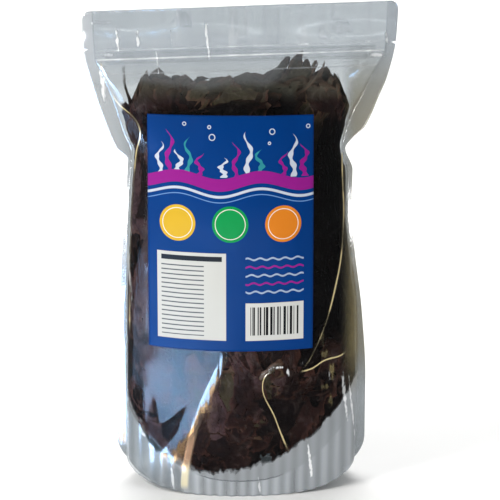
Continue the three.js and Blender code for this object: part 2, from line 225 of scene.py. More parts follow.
def sway(x, z):
    """The header above the zip bends as one sheet."""
    return smooth(331, 350, z) * (1.3 * np.sin(x / 17) + 0.9 * np.sin(x / 41 + 1))


print("deepest ripple on the front:",
      round(float(np.abs(ripple(np.linspace(-80, 80, 200), np.full(200, 150.0), -1)).max()), 2), "mm")

# %% [markdown]
# ## Making a panel of film
# Each panel starts as one flat grid. Its columns run out over the bulge and the side seals, and its rows go
# from the foot to the top edge; moving every point by the profiles turns it into the filled panel, and
# Solidify gives it the thickness of film. How far across a point lies is kept on the mesh, so that the
# finish can follow the seals.

# %% Helpers for meshes


def only(piece):
    bpy.ops.object.select_all(action="DESELECT")
    piece.select_set(True)
    bpy.context.view_layer.objects.active = piece


def flat_grid(name, columns, rows):
    """An upright grid, one metre each way, with its middle at the origin."""
    bpy.ops.object.select_all(action="DESELECT")
    bpy.ops.mesh.primitive_grid_add(x_subdivisions=columns, y_subdivisions=rows, size=1,
                                    rotation=(math.pi / 2, 0, 0))
    piece = bpy.context.object
    piece.name = name
    bpy.ops.object.transform_apply(location=False, rotation=True, scale=False)
    return piece


def points_of(piece):
    found = np.empty(len(piece.data.vertices) * 3)
    piece.data.vertices.foreach_get("co", found)
    return found.reshape(-1, 3)


def place(piece, x, y, z):
    """Moves every point of a piece to its place, given in millimetres."""
    piece.data.vertices.foreach_set("co", (np.stack([x, y, z], 1) * MM).ravel())
    piece.data.update()


def note(piece, name, values):
    """Keeps one number for each point, for the finish to read."""
    layer = piece.data.attributes.new(name, "FLOAT", "POINT")
    layer.data.foreach_set("value", np.asarray(values, np.float32))


def thicken(piece, thickness, offset=-1.0):
    only(piece)
    solidify = piece.modifiers.new("thickness", "SOLIDIFY")
    solidify.thickness = thickness * MM
    solidify.offset = offset
    bpy.ops.object.modifier_apply(modifier="thickness")
    bpy.ops.object.shade_smooth()


def face_out(piece, direction):
    """Turns an open sheet round where its faces look away from a direction."""
    total = sum((face.normal * face.area for face in piece.data.polygons), Vector())
    if total.dot(direction) < 0:
        only(piece)
        bpy.ops.object.mode_set(mode="EDIT")
        bpy.ops.mesh.select_all(action="SELECT")
        bpy.ops.mesh.flip_normals()
        bpy.ops.object.mode_set(mode="OBJECT")


print("helpers ready, in units of", MM, "m")

# %% [markdown]
# ## The two panels
# Eight of every hundred columns at each side lie in a flat seal, and the others spread over the bulge.
# Three rows lie close together where the tear notches are, so that the notches come out sharp.

# %% Front and back film
FILM = 0.25
COLUMNS = 150
ROWS = 190
SEAL_COLUMNS = 0.08
NOTCH_HEIGHT = 328.5
NOTCH_HALF = 1.2
NOTCH_DEPTH = 3
TOP_CORNER = 6
FOOT_CORNER = 13
CORNER_LIFT = 19
PANEL_GAP = 0.4


def rise(share, level):
    """How much the foot lifts towards its corners, and how much the top edge slants."""
    return CORNER_LIFT * np.abs(share) ** 4 * (1 - level) ** 3 + TOP_SLANT * share * level ** 4


def corner_cut(inset, radius):
    """How much a round corner takes off, at an inset from the edge."""
    return radius - np.sqrt(radius ** 2 - np.clip(radius - inset, 0, radius) ** 2)


def film_panel(name, side):
    piece = flat_grid(name, COLUMNS, ROWS)
    flat = points_of(piece)
    notch_rows = np.array([-NOTCH_HALF, 0, NOTCH_HALF]) / HEIGHT + NOTCH_HEIGHT / HEIGHT
    steps = np.unique(np.concatenate([np.linspace(0, 1, ROWS - 2), notch_rows]))
    level = np.interp((flat[:, 2] + 0.5) * ROWS, np.arange(ROWS + 1), steps)
    turn = np.interp(flat[:, 0] + 0.5, [0, SEAL_COLUMNS, 1 - SEAL_COLUMNS, 1], [-2, -1, 1, 2])
    z = level * HEIGHT
    hand = np.where(turn < 0, -1, 1)
    far = np.abs(turn)
    edge = by_side(EDGE, turn, z)
    share = np.sin(np.minimum(far, 1) * math.pi / 2)
    seal = by_side(SEAL, turn, z)
    x = np.where(far <= 1, seal * share, seal + (edge - seal) * (far - 1))
    notch = np.clip(1 - np.abs(z - NOTCH_HEIGHT) / NOTCH_HALF, 0, 1)
    x = x - NOTCH_DEPTH * notch * np.clip(far - 1, 0, 1)
    out = np.where(far < 1, room(share, z), 0) + PANEL_GAP + ripple(hand * x, z, side)
    top = corner_cut(edge - x, TOP_CORNER) * smooth(0.9, 1, level)
    foot = corner_cut(edge - x, FOOT_CORNER) * (1 - smooth(0, 0.12, level))
    crimp = smooth(1, 1.15, far) * 0.15 * np.sin(z / 19 + hand) * smooth(0.2, 0.35, level)
    up = z + rise(hand * x / edge, level) - top + foot
    place(piece, hand * x, side * out + sway(hand * x, z) + crimp, up)
    note(piece, "across", turn)
    face_out(piece, Vector((0, side, 0)))
    thicken(piece, FILM)
    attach(piece, "root")
    return piece


front = film_panel("pouch_front", -1)
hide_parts("film_front")
rear = film_panel("pouch_back", 1)
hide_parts("film_back")
print("film panels:", len(front.data.polygons), "and", len(rear.data.polygons), "faces")

# %% [markdown]
# ## The bottom gusset
# The foot opens because a third web is folded up into it. Along each panel it is sealed in a curve that
# rises towards the sides, and between those curves it hangs down and lies flat on the table. One grid makes
# it: columns along the pouch, rows from the front hem to the back hem.

# %% Bottom gusset
WEB_FLAT = 36
WEB_FOLD = 49
FLANGE = 0.62


def gusset_height(x, share):
    """How high the web stands; share runs from 0 at its middle line to 1 at the seals along the foot."""
    crease = WEB_FOLD * np.clip((np.abs(x) - WEB_FLAT) / (FOOT_REACH - WEB_FLAT), 0, 1) ** 1.5
    return crease + (seal_top(x) - crease) * smooth(0.35, 1, share) ** 1.3


def bottom_gusset():
    piece = flat_grid("pouch_gusset", 90, 60)
    flat = points_of(piece)
    turn = flat[:, 0] * 1.9
    way = flat[:, 2] * 2
    share = np.sin(turn * math.pi / 2)
    inset = 0.9 + 0.7 * share ** 2
    top = seal_top(share * 86)
    hem = rise(share * 0.93, 0) + 0.8
    sealed = np.abs(way) > FLANGE
    web = np.clip(np.abs(way) / FLANGE, 0, 1)
    z = np.where(sealed, top + (hem - top) * (np.abs(way) - FLANGE) / (1 - FLANGE), top)
    x = share * (by_side(SEAL, share, z) - inset)
    wall = room(share, z) - inset * np.sqrt(1 - share ** 2)
    z = np.where(sealed, z, gusset_height(x, web) + 0.3)
    flutes = 0.4 * flute(x) * sealed
    deep = (wall + flutes * np.sqrt(1 - share ** 2)) * np.where(sealed, 1, web)
    place(piece, x, np.sign(way) * deep, z)
    face_out(piece, Vector((0, 0, -1)))
    thicken(piece, 0.2)
    return piece


gusset = bottom_gusset()
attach(gusset, "root")
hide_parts("bottom_gusset")
gusset_size = np.ptp(points_of(gusset), axis=0) / MM
print("gusset:", [round(v, 1) for v in gusset_size], "mm")

# %% [markdown]
# ## The label
# The label is a rectangle of printed film stuck to the front panel, so it takes every ripple of the
# panel. It is a grid at its own size, pushed back until it lies a hair in front of the film.

# %% Label
LABEL_X = (-67, 53)
LABEL_Z = (112, 281)


def front_face(x, z):
    """How far forward the front panel's face lies at a place, in millimetres."""
    level = z / HEIGHT
    under = z - TOP_SLANT * x / 100 * level ** 4
    return room(np.clip(x / by_side(SEAL, x, under), -1, 1), under) + PANEL_GAP + ripple(x, under, -1)


label = flat_grid("pouch_label", 80, 110)
flat = points_of(label)
x = LABEL_X[0] + (flat[:, 0] + 0.5) * (LABEL_X[1] - LABEL_X[0])
z = LABEL_Z[0] + (flat[:, 2] + 0.5) * (LABEL_Z[1] - LABEL_Z[0])
place(label, x, -front_face(x, z) - 0.5, z)
face_out(label, Vector((0, -1, 0)))
thicken(label, 0.2)
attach(label, "root")
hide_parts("label")
print("label:", LABEL_X[1] - LABEL_X[0], "by", LABEL_Z[1] - LABEL_Z[0], "mm")

# %% [markdown]
# ## Cutting dulse blades
# A dulse blade is a flat sheet that widens from its holdfast and splits into lobes with torn ends. Four
# shapes are cut once: a fan, a forked blade, a strap and a broken sheet. Each begins as a grid, whose
# faces are deleted by their place to make splits and tears. The points are then pulled in to the outline,
# and the free rim is roughened. How near a point is to the rim is kept, for the redder margins that are
# painted light shining through the thin edges.

# %% Blade shapes


def torn_off(across, reach, seed):
    """Whether a place falls in a flake that has broken off; the flakes are the cells of a random pattern."""
    centre = noise.voronoi(Vector((across * 2.1 + seed, reach * 3.4, seed)))[1][0]
    side, up = (centre.x - seed) / 2.1, centre.y / 3.4
    outer = max(abs(side) ** 2, up ** 3, (1 - up) ** 5)
    return noise.noise(centre * 2.3) + 0.6 * outer > 0.64


def split_open(across, reach, splits):
    """Whether a place lies in one of the splits, which run in from the tips."""
    return any(reach > start and abs(across - at + lean * reach) < half for start, at, lean, half in splits)


def tear(piece, splits, seed):
    """Deletes the splits and the flakes, and then all that no longer hangs on the middle."""
    only(piece)
    bpy.ops.object.mode_set(mode="EDIT")
    bpy.ops.mesh.select_mode(type="FACE")
    bpy.ops.mesh.select_all(action="DESELECT")
    bpy.ops.object.mode_set(mode="OBJECT")
    for face in piece.data.polygons:
        across, reach = 2 * face.center.x, face.center.z + 0.5
        face.select = split_open(across, reach, splits) or torn_off(across, reach, seed)
    bpy.ops.object.mode_set(mode="EDIT")
    bpy.ops.mesh.delete(type="FACE")
    bpy.ops.object.mode_set(mode="OBJECT")
    middle = min(piece.data.polygons, key=lambda face: math.hypot(face.center.x, face.center.z + 0.15))
    middle.select = True
    bpy.ops.object.mode_set(mode="EDIT")
    bpy.ops.mesh.select_linked()
    bpy.ops.mesh.select_all(action="INVERT")
    bpy.ops.mesh.delete(type="FACE")
    bpy.ops.object.mode_set(mode="OBJECT")


def free_rim(piece):
    """1 at each point on an edge that only one face uses, and 0 elsewhere."""
    uses = {}
    for face in piece.data.polygons:
        for key in face.edge_keys:
            uses[key] = uses.get(key, 0) + 1
    near = np.zeros(len(piece.data.vertices))
    near[[point for key, count in uses.items() if count == 1 for point in key]] = 1
    return near


def cut_blade(name, columns, rows, seed, outline, rough, amounts, splits):
    piece = flat_grid(name, columns, rows)
    tear(piece, splits, seed)
    flat = points_of(piece)
    near = free_rim(piece)
    across, reach = 2 * flat[:, 0], flat[:, 2] + 0.5
    p, q = outline(across, reach)
    p = p + amounts[0] * waves(rough, across * 30, reach * 40, (6, 22), 7) * 1.6
    q = q + amounts[1] * waves(rough + 1, across * 30, reach * 40, (6, 22), 7) * 1.6
    p = p + near * 0.02 * waves(seed + 40, flat[:, 0] * 70, flat[:, 2] * 90, (4, 11), 9) * 3
    q = q + near * 0.02 * waves(seed + 60, flat[:, 0] * 70, flat[:, 2] * 90, (4, 11), 9) * 3
    edges = np.array([tuple(e.vertices) for e in piece.data.edges])
    for strength in (0.5, 0.2):
        spread = near.copy()
        np.maximum.at(spread, edges[:, 0], near[edges[:, 1]] * strength)
        np.maximum.at(spread, edges[:, 1], near[edges[:, 0]] * strength)
        near = spread
    note(piece, "margin", near)
    return {"piece": piece, "flat": np.stack([p, q], 1), "margin": near}


# %% [markdown]
# ## The outlines of the four shapes
# Each outline moves a place on the grid to its place on the blade: across runs from -1 to 1, and reach from
# 0 at the holdfast to 1 at the tips. A split is given by where it starts, its place across, how far it
# leans and its half width.

# %% Outlines


def fan(across, reach):
    spread = 0.25 + 0.75 * np.sin(np.minimum(reach * 1.2, 1) * math.pi / 2) ** 0.8
    lobes = 0.84 + 0.16 * np.cos(across * 2.3 * math.pi + 0.6)
    return across * spread * 0.5, reach * (1 + (lobes - 1) * reach ** 2) - 0.5


def fork(across, reach):
    spread = 0.26 + 0.55 * reach ** 0.7
    part = np.sign(across) * 0.3 * smooth(0.45, 1, reach)
    tips = 1 - 0.16 * smooth(0.6, 1, reach) * (np.abs(np.abs(across) - 0.5) * 2)
    return across * spread * 0.5 + part, reach * tips - 0.5


def strap(across, reach):
    width = 0.46 + 0.2 * np.sin(reach * 5 + 1) - 0.16 * smooth(0.75, 1, reach)
    return across * width * 0.5 + 0.12 * np.sin(reach * 4), reach - 0.5


def sheet(across, reach):
    return across * (0.5 - 0.08 * reach), reach - 0.5


SHAPES = [cut_blade("fan_blade", 24, 30, 1, fan, 5, (0.05, 0.04),
                    [(0.7, 0.18, 0, 0.06), (0.82, -0.45, 0, 0.07)]),
          cut_blade("forked_blade", 24, 30, 2, fork, 7, (0.05, 0.04), [(0.45, 0, 0, 0.06)]),
          cut_blade("strap_blade", 16, 32, 3, strap, 9, (0.05, 0.04), [(0.8, 0.2, 0, 0.1)]),
          cut_blade("broken_sheet", 26, 26, 7, sheet, 12, (0.07, 0.07), [(0.66, -0.25, 0.2, 0.05)])]
print("blade shapes:", [len(s["flat"]) for s in SHAPES], "points each")

# %% [markdown]
# ## Packing the blades
# The blades lie against the film in layers, crumpled and turned every way. Each copy of a shape is
# scaled, turned, creased with noise, and wrapped round the inside of the pouch at its own depth. Noise
# without its sign gives sharp valleys, as in crushed leather. Every point is held a little inside the
# film, so nothing pokes through, and the copies of one zone are joined into one piece.

# %% Wrap and crumple
BLADE = 0.28
BLADE_WIDTH = 84
BLADE_LENGTH = 104
MASS_HALF = 84
ROOF = 288
CLEARANCE = 0.9


def inside(turn, z, depth):
    """A point inside the pouch; turn is in radians round it from the middle of the front panel."""
    s, c = np.sin(turn), np.cos(turn)
    half = by_side(SEAL, s, z) - 1.2 - 0.25 * depth
    bulge = np.maximum(along(BULGE, z) - depth, 0.3) * np.abs(c) ** along(POINTEDNESS, z)
    return half * s, -np.sign(c) * bulge, z


FOOT_OF_MASS = [(-86, 64), (-68, 40), (-45, 22), (-21, 15), (10, 20), (45, 37), (68, 56), (86, 78)]
TURNS = np.linspace(-2 * math.pi, 4 * math.pi, 1500)
RING = np.array(inside(TURNS, np.full(1500, 130.0), np.zeros(1500))[:2])
RUN = np.concatenate([[0], np.cumsum(np.hypot(*np.diff(RING, axis=1)))])


def crumple(p, q, seed, size):
    """How far the creases lift a blade off its flat shape."""
    folds = np.array([noise.noise(Vector((a / 24 + seed, b / 30, seed * 0.37))) for a, b in zip(p, q)])
    fine = np.array([noise.noise(Vector((a / 9, b / 11 + seed, seed * 0.71))) for a, b in zip(p, q)])
    return size * (3.2 * np.abs(folds) - 1.1 * folds + 0.9 * np.abs(fine) - 0.7)


def held(x, y, z):
    """How far out a blade may lie: it stays clear of whichever panel it leans on."""
    film = room(x / by_side(SEAL, x, z), z) + np.where(y < 0, ripple(x, z, -1), ripple(x, z, 1))
    return np.sign(y) * np.minimum(np.abs(y), np.maximum(film - CLEARANCE, 0.2))


def copy_blade(shape, name, tone):
    """A copy of a blade shape with its own mesh and its own tone."""
    piece = shape["piece"].copy()
    piece.data = shape["piece"].data.copy()
    piece.name = name
    bpy.context.scene.collection.objects.link(piece)
    note(piece, "tone", np.full(len(piece.data.vertices), tone))
    return piece


def lay_blade(name, draw, turn, height, depth, size, tilt, tone, crush, shape=None):
    """Lays a blade against the film, where depth is how far in it lies and crush how deep its creases are."""
    shape = shape or SHAPES[draw.choice([0, 0, 1, 1, 2, 3])]
    piece = copy_blade(shape, name, tone)
    p, q = shape["flat"][:, 0] * BLADE_WIDTH * size, shape["flat"][:, 1] * BLADE_LENGTH * size
    lift = crumple(p, q, draw.uniform(0, 90), crush) + draw.uniform(-3, 1.5) * shape["margin"]
    s = p * math.cos(tilt) - q * math.sin(tilt)
    z = height + p * math.sin(tilt) + q * math.cos(tilt)
    at = np.interp(np.interp(turn, TURNS, RUN) + s, RUN, TURNS)
    beside = MASS_HALF * np.sin(at)
    floor = np.maximum(seal_top(beside) + 2.5, along(FOOT_OF_MASS, beside) + draw.uniform(-8, 4))
    z = floor + 4 * np.logaddexp(0, (z - floor) / 4)
    roof = ROOF + 5 * np.sin(at * 5 + 1)
    z = roof - 5 * np.logaddexp(0, (roof - z) / 5)
    x, y, z = inside(at, z, 1.5 + np.logaddexp(0, depth + lift - 1.5))
    place(piece, x, held(x, y, z), z)
    return piece


def join(pieces, name):
    bpy.ops.object.select_all(action="DESELECT")
    for piece in pieces:
        piece.select_set(True)
    bpy.context.view_layer.objects.active = pieces[0]
    bpy.ops.object.join()
    joined = bpy.context.object
    joined.name = name
    thicken(joined, BLADE, 0.0)
    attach(joined, "root")
    return joined


once_round = np.interp(2 * math.pi, TURNS, RUN) - np.interp(0, TURNS, RUN)
print("round the packed mass:", round(float(once_round)), "mm")

# %% [markdown]
# ## Laying the blades
# Three zones, one above another, take three layers each, and the layer nearest to the film has the fewest
# blades. Deeper layers get darker tones, painted shade between the blades, and blades towards the right get
# darker tones too, the painted shade of the mass there. A fringe of small ones follows the foot of the mass.
# The few whole blades that can be told apart in the photograph come last, each with its place, height, size,
# tilt, tone and shape.

# %% Blades against the film
ZONES = [("dulse_low", 68), ("dulse_middle", 146), ("dulse_high", 226)]
LAYERS = [(2.2, 10), (5.5, 14), (10, 16)]
TONES = [0.02, 0.08, 0.14, 0.2, 0.28, 0.42, 0.6, 0.9]
FRINGE = 34
LEAVES = [(-22, 66, 0.5, -0.32, 0.62, 2), (0, 84, 0.6, 0.04, 0.52, 2), (1, 46, 0.3, 0.3, 0.45, 0),
          (-10, 34, 0.36, 1.4, 0.22, 3), (-30, 48, 0.34, -0.5, 0.4, 2), (24, 62, 0.5, 2.2, 0.1, 0),
          (40, 80, 0.45, -0.7, 0.14, 1), (66, 150, 0.5, 0.2, 0.12, 2), (68, 220, 0.55, -0.1, 0.1, 2),
          (-60, 88, 0.4, 0.6, 0.6, 0), (-56, 54, 0.4, 2.4, 0.12, 1), (-74, 230, 0.5, 0.15, 0.2, 2)]
draw = random.Random(11)
dulse = []
for zone, (name, height) in enumerate(ZONES):
    blades = []
    for layer, (depth, around) in enumerate(LAYERS):
        for i in range(around):
            turn = (i + 0.33 * layer + 0.5 * (zone % 2) + draw.uniform(-0.25, 0.25)) * 2 * math.pi / around
            tilt = draw.uniform(-0.6, 0.6) + draw.choice([0, 0, math.pi, math.pi / 2])
            # Painted shade: deeper layers get darker tones, and so do blades towards the right.
            tone = draw.choice(TONES) * (1 - 0.25 * layer) + draw.uniform(0, 0.05)
            tone *= 1 - 0.6 * max(0, math.sin(turn))
            blades.append(lay_blade(f"{name}_{layer}_{i}", draw, turn, height + draw.uniform(-26, 26), depth,
                                    draw.uniform(0.6, 1.05), tilt, tone, draw.uniform(1.4, 3.4)))
    dulse.append(join(blades, name))
blades = []
for i in range(FRINGE):
    turn = 2 * math.pi * (i + draw.uniform(-0.3, 0.3)) / FRINGE
    foot = float(along(FOOT_OF_MASS, MASS_HALF * math.sin(turn)))
    blades.append(lay_blade(f"foot_{i}", draw, turn, foot + draw.uniform(16, 25), draw.uniform(2.5, 6),
                            draw.uniform(0.42, 0.6), draw.uniform(2.4, 3.9),
                            0.15 + draw.uniform(-0.15, 0.15), 1.5))
for i, (across, height, size, tilt, tone, kind) in enumerate(LEAVES):
    blades.append(lay_blade(f"leaf_{i}", draw, math.asin(across / MASS_HALF), height, -1.0, size, tilt, tone,
                            0.8, SHAPES[kind]))
dulse.append(join(blades, "dulse_foot"))
for piece in dulse:
    print(piece.name, len(piece.data.polygons), "faces")

# %% [markdown]
# ## The torn sheets that stand up under the zip
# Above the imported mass, loose sheets stand up between the panels, held inside the room that is left there.
# Their torn upper margins make the uneven line under the zip, highest at the right, where one tuft nearly
# reaches it.

# %% Standing sheets
CREST = [(-94, 300), (-90, 306), (-84, 296), (-70, 305), (-46, 307), (-20, 304), (10, 304), (26, 306),
         (40, 308), (52, 309), (60, 305), (66, 301), (78, 292), (86, 282)]
ROOT = 244
SHOULDER = 262
SHEETS = 30


def stand_blade(name, draw, shape, root, top, width, lean, offset, tone, taper=0.45):
    """Stands a blade between the panels; above the shoulder it is held in by the taper."""
    piece = copy_blade(shape, name, tone)
    p, q = shape["flat"][:, 0] * width, (shape["flat"][:, 1] + 0.5) * (top - ROOT)
    bend = crumple(p, q, draw.uniform(0, 90), 1.3)
    z = ROOT + q
    x = root + p + lean * q
    free = smooth(SHOULDER, SHOULDER + 30, z)
    half = np.minimum(by_side(SEAL, x, z) - 2.5 * free - 1, 92 - taper * np.maximum(z - SHOULDER, 0))
    x = x / (1 + (np.abs(x) / half) ** 8) ** 0.125
    deep = np.maximum(room(x / by_side(SEAL, x, z), z + 2.5) - 1.6, 0.35)
    y = offset + bend
    place(piece, x, held(x, y / (1 + (np.abs(y) / deep) ** 6) ** (1 / 6), z), z)
    return piece


draw = random.Random(8)
sheets = [stand_blade("spike_left", draw, SHAPES[2], -82, 312, 20, -0.14, -3, 0.3, 0),
          stand_blade("tuft_right_1", draw, SHAPES[3], 6, 318, 34, 0.5, -5, 0.3),
          stand_blade("tuft_right_2", draw, SHAPES[1], -10, 323, 30, 0.8, -8, 0.5),
          stand_blade("tuft_right_4", draw, SHAPES[0], 24, 314, 34, 0.36, -4, 0.2),
          stand_blade("tuft_right_3", draw, SHAPES[1], 44, 305, 34, 0.3, -7, 0.92)]
for i in range(SHEETS):
    root = -84 + 164 * (i + draw.uniform(-0.4, 0.4)) / (SHEETS - 1)
    top = float(along(CREST, root)) - draw.choice([0, 0, 1, 2, 7, 13])
    tone = draw.choice([0.05, 0.15, 0.3, 0.4, 0.9]) + draw.uniform(0, 0.06)
    sheets.append(stand_blade(f"sheet_{i}", draw, SHAPES[draw.choice([3, 3, 3, 0])], root * 0.86, top,
                              draw.uniform(50, 96), root * 0.0022 + draw.uniform(-0.2, 0.2),
                              draw.uniform(-13, 11), tone))
dulse.append(join(sheets, "dulse_crest"))
print(dulse[-1].name, len(dulse[-1].data.polygons), "faces")

# %% [markdown]
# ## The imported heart
# Behind the outer blades the mass is solid dulse, and only its darkness shows through the gaps. A sphere is
# stretched to the inside of the pouch and dented with noise. It takes the place of the CAD dulse, and the
# four flat shapes are removed.

# %% Heart of the mass
HEART_MIDDLE = 150
HEART_REACH = 138
HEART_DEPTH = 15
bpy.ops.object.select_all(action="DESELECT")
bpy.ops.mesh.primitive_uv_sphere_add(segments=160, ring_count=120, radius=1)
heart = bpy.context.object
heart.name = "dulse_heart_blades"
ball = points_of(heart)
turn = np.arctan2(ball[:, 0], -ball[:, 1])
height = np.clip(ball[:, 2], -1, 1)
inward = np.sqrt(1 - height ** 2) ** 0.3
z = HEART_MIDDLE + HEART_REACH * np.sign(height) * np.abs(height) ** 0.9
dents = np.array([abs(noise.noise(Vector(v) * 7)) + 0.5 * noise.noise(Vector(v) * 18) for v in ball])
x, y, _ = inside(turn, np.clip(z, 5, 285), HEART_DEPTH + 9 * dents)
x, y = x * inward, y * inward
floor = gusset_height(x, np.clip(np.abs(y) / 44, 0, 1)) + 4
z = np.maximum(z, np.maximum(floor, along(FOOT_OF_MASS, x) + 5) + 4 * dents)
place(heart, x, y, z)
note(heart, "tone", np.clip(0.1 + 0.3 * dents, 0, 1))
note(heart, "margin", np.zeros(len(ball)))
bpy.ops.object.shade_smooth()
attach(heart, "root")
dulse.append(heart)
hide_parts(*[n for n in frame["nodes"] if n.startswith("dulse")])
for shape in SHAPES:
    bpy.data.objects.remove(shape["piece"])
print("heart:", len(heart.data.polygons), "faces")

# %% [markdown]
# ## Shader maths as Python
# A small class wraps a shader socket, and Python's operators on it add Math nodes, so that a finish reads
# as an expression. Every other node comes from one method, which sets the node's own settings and then the
# values or links of its sockets.

# %% Wrapped sockets


def maths(operation, turned=False):
    """A method that adds one Math node; a turned one takes its terms the other way round."""
    def method(self, *terms):
        return self.math(operation, *((*terms, self) if turned else (self, *terms)))
    return method


class Value:
    def __init__(self, socket):
        self.socket = socket

    def math(self, operation, *terms, clamp=False):
        node = self.socket.id_data.nodes.new("ShaderNodeMath")
        node.operation = operation
        node.use_clamp = clamp
        for i, term in enumerate(terms):
            if isinstance(term, Value):
                self.socket.id_data.links.new(term.socket, node.inputs[i])
            else:
                node.inputs[i].default_value = term
        return Value(node.outputs[0])

    def clamped(self):
        return self.math("ADD", self, 0.0, clamp=True)

    __add__ = __radd__ = maths("ADD")
    __sub__ = maths("SUBTRACT")
    __rsub__ = maths("SUBTRACT", True)
    __mul__ = __rmul__ = maths("MULTIPLY")
    __truediv__ = maths("DIVIDE")
    __pow__ = maths("POWER")
    __abs__ = maths("ABSOLUTE")
    least = maths("MINIMUM")
    most = maths("MAXIMUM")
    sine = maths("SINE")


class Finish:
    def __init__(self, name):
        self.material = bpy.data.materials.new(name)
        self.material.use_nodes = True
        self.tree = self.material.node_tree
        self.tree.nodes.clear()

    def node(self, kind, output=0, settings=None, **sockets):
        node = self.tree.nodes.new("ShaderNode" + kind)
        for key, value in (settings or {}).items():
            setattr(node, key, value)
        for key, value in sockets.items():
            socket = node.inputs[int(key[1:])] if key[0] == "_" else node.inputs[key.replace("_", " ")]
            if isinstance(value, Value):
                self.tree.links.new(value.socket, socket)
            else:
                socket.default_value = value
        return Value(node.outputs[output])

    def place(self):
        """Object coordinates in millimetres, as x, y and z."""
        spot = self.node("TexCoord", "Object")
        parts = self.tree.nodes.new("ShaderNodeSeparateXYZ")
        self.tree.links.new(spot.socket, parts.inputs[0])
        return spot, *(Value(parts.outputs[i]) * 1000 for i in range(3))

    def noise(self, spot, scale, stretch=(1, 1, 1), detail=4.0, roughness=0.55, seed=0.0, warp=0.0):
        """Noise with features of about 1/scale metres."""
        mapped = self.node("Mapping", Vector=spot, Scale=stretch, Location=(seed, seed * 0.7, -seed))
        return self.node("TexNoise", Vector=mapped, Scale=float(scale), Detail=detail, Roughness=roughness,
                         Distortion=warp)

    def mix(self, share, low, high):
        """A colour between two colours."""
        return self.node("Mix", 2, {"data_type": "RGBA"}, _0=share, _6=low, _7=high)

    def step(self, value, low, high):
        """0 at low, 1 at high, eased between."""
        if low > high:
            return 1 - self.step(value, high, low)
        return self.node("MapRange", 0, {"interpolation_type": "SMOOTHSTEP"}, Value=value,
                         From_Min=float(low), From_Max=float(high))

    def curve(self, points, value, span):
        """The value of a curve through points, where both run over span."""
        low, high = span
        node = self.tree.nodes.new("ShaderNodeFloatCurve")
        line = node.mapping.curves[0]
        keys = [((a - low) / (high - low), (b - low) / (high - low)) for a, b in points]
        line.points[0].location = keys[0]
        line.points[-1].location = keys[-1]
        for key in keys[1:-1]:
            line.points.new(*key)
        node.mapping.update()
        self.tree.links.new(((value - low) / (high - low)).socket, node.inputs["Value"])
        return Value(node.outputs[0]) * (high - low) + low

    def bump(self, height, strength, distance, normal=None):
        more = {"Normal": normal} if normal else {}
        return self.node("Bump", Height=height, Strength=strength, Distance=distance, **more)

    def close(self, shader):
        output = self.tree.nodes.new("ShaderNodeOutputMaterial")
        self.tree.links.new(shader.socket, output.inputs["Surface"])
        return self.material


def srgb(code):
    """The linear colour of a six-figure screen colour."""
    parts = [int(code[i:i + 2], 16) / 255 for i in (0, 2, 4)]
    return (*[c / 12.92 if c <= 0.04045 else ((c + 0.055) / 1.055) ** 2.4 for c in parts], 1)


def dress(piece, material):
    piece.data.materials.clear()
    piece.data.materials.append(material)


print("colour check:", [round(c, 3) for c in srgb("808080")])

# %% [markdown]
# ## Marks on the film
# Film isn't equally clear all over. Fine golden lines along its creases are painted highlights, and so are
# the small glints; the olive sheens are painted reflections. Low at the left a few leaves are pressed flat to
# it.
# Each kind of mark is a list of places in millimetres, which one function turns into a mask from 0 to 1.

# %% Marks on the film
SPAN = (-120, 360)
# Painted reflections: olive sheens, each with a place, a width, a height and a strength.
PAINTED_SHEEN = [(63, 106, 5, 2.5, 0.7), (68, 93, 3, 7, 0.8), (63, 81, 5, 2, 0.7), (67, 70, 2.4, 6, 0.6),
         (60, 118, 3, 5, 0.4)]
# Painted highlights: light lines along the zip and one below it, with height, outer and inner width,
# strength.
ZIP_HIGHLIGHT_LINES = [(321.8, 0.9, 0.3, 1.0), (328.2, 0.7, 0.2, 0.6), (311.5, 0.7, 0.2, 0.4)]
PRESSED = [[(-64, 74), (-58, 49), (-70, 49)], [(-40, 68), (-48, 43), (-62, 50)],
           [(-76, 50), (-59.5, 55), (-48, 46), (-57, 32), (-62.5, 29), (-70.5, 40)]]
# Painted highlights: small glints, each with a place, a width, a height and a strength.
PAINTED_GLINTS = [(-89, 333, 1.6, 7, 0.9), (-74, 334, 2.2, 6, 0.8), (-50, 336, 1.2, 7, 0.4), (-24, 334, 1.4, 12, 0.8),
          (28, 350, 4, 9, 0.6), (106, 334, 1.6, 4, 0.7), (-60, 318, 1.0, 9, 0.5), (60, 336, 8, 3, 0.3),
          (-100, 300, 2.5, 12, 0.6), (52, 24, 1.6, 12, 0.9), (-72, 44, 3.5, 3.5, 0.9), (-50, 10, 1.6, 8, 0.6),
          (14, 9, 1.2, 6, 0.5), (78, 70, 2, 16, 0.7), (-84, 180, 1.6, 40, 0.5), (84, 60, 1.2, 22, 0.6),
          (66, 88, 1.2, 4, 0.5), (29, 99, 5, 1.0, 0.9), (35, 95, 1.6, 2.6, 0.9), (-96, 322, 9, 1.2, 0.4),
          (100, 322, 8, 1.4, 0.6), (-100, 345, 10, 1.5, 0.3), (72, 342, 12, 5, 0.25), (-40, 345, 10, 8, 0.2)]


def painted_crease_highlights(film, x, z, cloud, near):
    """Painted highlights: thin crease lines, faint at the foot, broken at the shoulders, and the level fold.
    """
    broken = 0.25 + 0.75 * film.step(cloud, 0.4, 0.55)
    drawn = {"foot": 0.2, "belly": 1.0}
    line = 0 * z
    for crease, points in CREASES.items():
        low, high = points[0][0], points[-1][0]
        gap = abs(x - film.curve(points, z, SPAN))
        ends = film.step(z, low - 4, low + 8) * film.step(z, high + 3, high - 6)
        fine = film.step(gap / (0.2 + 1.3 * cloud ** 2), 1.6, 0.5) * ends
        line = line.most(fine * drawn.get(crease, broken))
    shelf = abs(z - film.curve(SHELF, x, SPAN))
    return line.most(film.step(shelf, 1.1, 0.2) * film.step(x, 43, 48) * film.step(x, 80, 74)) * near


